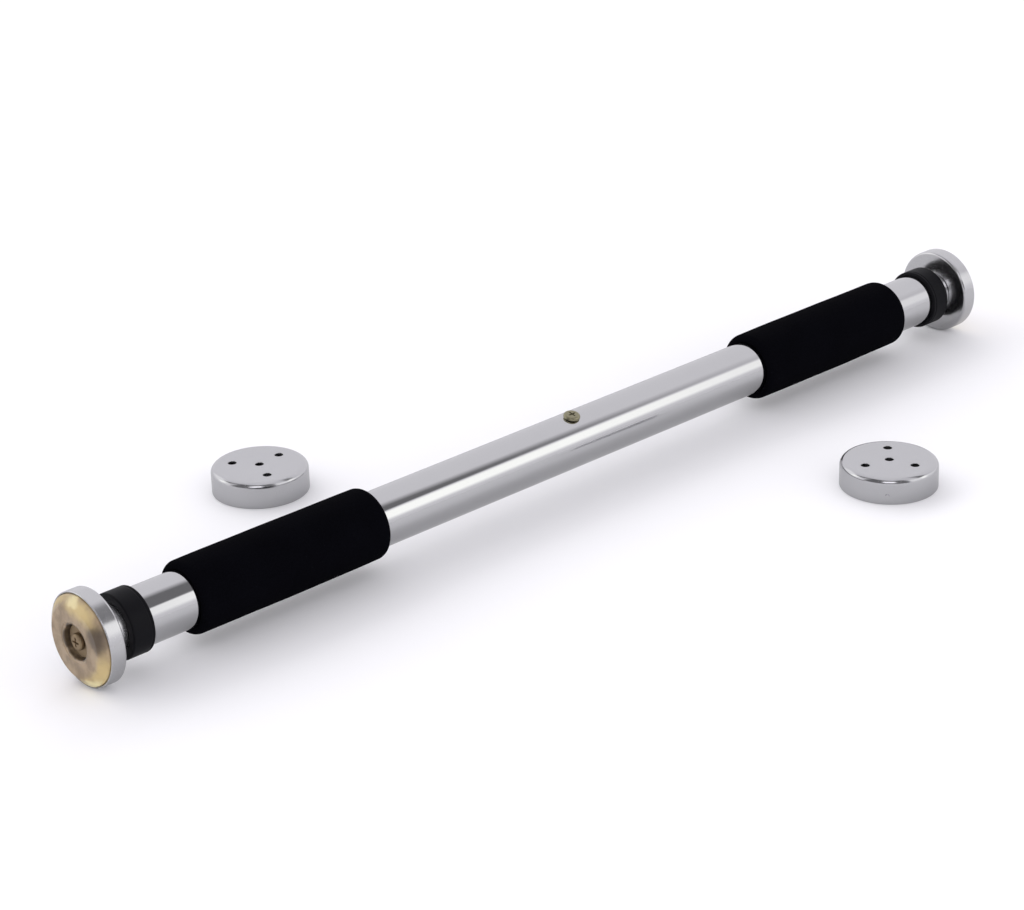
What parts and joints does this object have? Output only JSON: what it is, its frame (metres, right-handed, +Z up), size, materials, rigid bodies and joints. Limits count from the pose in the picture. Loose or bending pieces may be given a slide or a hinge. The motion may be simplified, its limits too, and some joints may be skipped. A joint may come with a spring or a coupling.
{
  "type": "pull up bar",
  "caption": "Doorway pull up bar that telescopes on a screw thread, with foam grips, rubber-faced end discs and loose wall cups.",
  "frame": {"origin": "centre of the set's footprint, on the surface that the bar and cups lie on", "axes": "+X along the bar towards its right end, +Y from the right cup's side to the left cup's side, +Z up"},
  "size_m": [0.6828, 0.3144, 0.052],
  "materials": {
    "tube_chrome": "bright chrome plate, polished",
    "sleeve_chrome": "bright chrome plate",
    "disc_chrome": "bright chrome plate on a pressed dish",
    "cup_chrome": "satin-bright chrome plate on a pressed cup",
    "grip_foam": "closed-cell black foam, matt",
    "collar_plastic": "moulded black plastic with a slight sheen",
    "pad_rubber": "amber translucent rubber",
    "screw_brass": "yellow-passivated, olive brass colour",
    "nut_brass": "machined brass",
    "zinc_steel": "zinc-plated steel",
    "ring_nylon": "natural nylon"
  },
  "bodies": {
    "bar": {"main_tube": "tube_chrome", "centre_block": "zinc_steel", "centre_screw": "screw_brass", "threaded_rod": "zinc_steel", "left_grip": "grip_foam", "left_collar": "collar_plastic", "left_stop_washer": "zinc_steel", "left_stop_screw": "zinc_steel", "right_grip": "grip_foam", "right_collar": "collar_plastic", "right_stop_washer": "zinc_steel", "right_stop_screw": "zinc_steel"},
    "left_slider": {"left_guide_ring": "ring_nylon"},
    "left_foot": {"left_sleeve": "sleeve_chrome", "left_drive_nut": "nut_brass", "left_nut_screw": "zinc_steel", "left_plug": "zinc_steel", "left_disc": "disc_chrome", "left_pad": "pad_rubber", "left_washer": "screw_brass", "left_pad_screw": "screw_brass"},
    "right_slider": {"right_guide_ring": "ring_nylon"},
    "right_foot": {"right_sleeve": "sleeve_chrome", "right_drive_nut": "nut_brass", "right_nut_screw": "zinc_steel", "right_plug": "zinc_steel", "right_disc": "disc_chrome", "right_pad": "pad_rubber", "right_washer": "screw_brass", "right_pad_screw": "screw_brass"},
    "left_cup": {"left_cup": "cup_chrome"},
    "right_cup": {"right_cup": "cup_chrome"}
  },
  "joints": [
    {"name": "left_extend", "type": "slide", "parent": "bar", "child": "left_slider", "axis": [-1, 0, 0], "range_m": [-0.0061, 0.1261]},
    {"name": "left_screw_turn", "type": "hinge", "parent": "left_slider", "child": "left_foot", "pos_m": [0, 0.0058, 0.026], "axis": [1, 0, 0], "range_deg": [-360, 7560]},
    {"name": "right_extend", "type": "slide", "parent": "bar", "child": "right_slider", "axis": [1, 0, 0], "range_m": [-0.0061, 0.1261]},
    {"name": "right_screw_turn", "type": "hinge", "parent": "right_slider", "child": "right_foot", "pos_m": [0, 0.0058, 0.026], "axis": [1, 0, 0], "range_deg": [-360, 7560]},
    {"name": "left_cup_lift", "type": "slide", "parent": "bar", "child": "left_cup", "axis": [0, 0, 1], "range_m": [0, 0.06]},
    {"name": "right_cup_lift", "type": "slide", "parent": "bar", "child": "right_cup", "axis": [0, 0, 1], "range_m": [0, 0.06]}
  ],
  "couplings": [
    {"joint": "left_extend", "follows": "left_screw_turn", "m_per_rad": 0.00095493},
    {"joint": "right_extend", "follows": "right_screw_turn", "m_per_rad": 0.00095493}
  ]
}
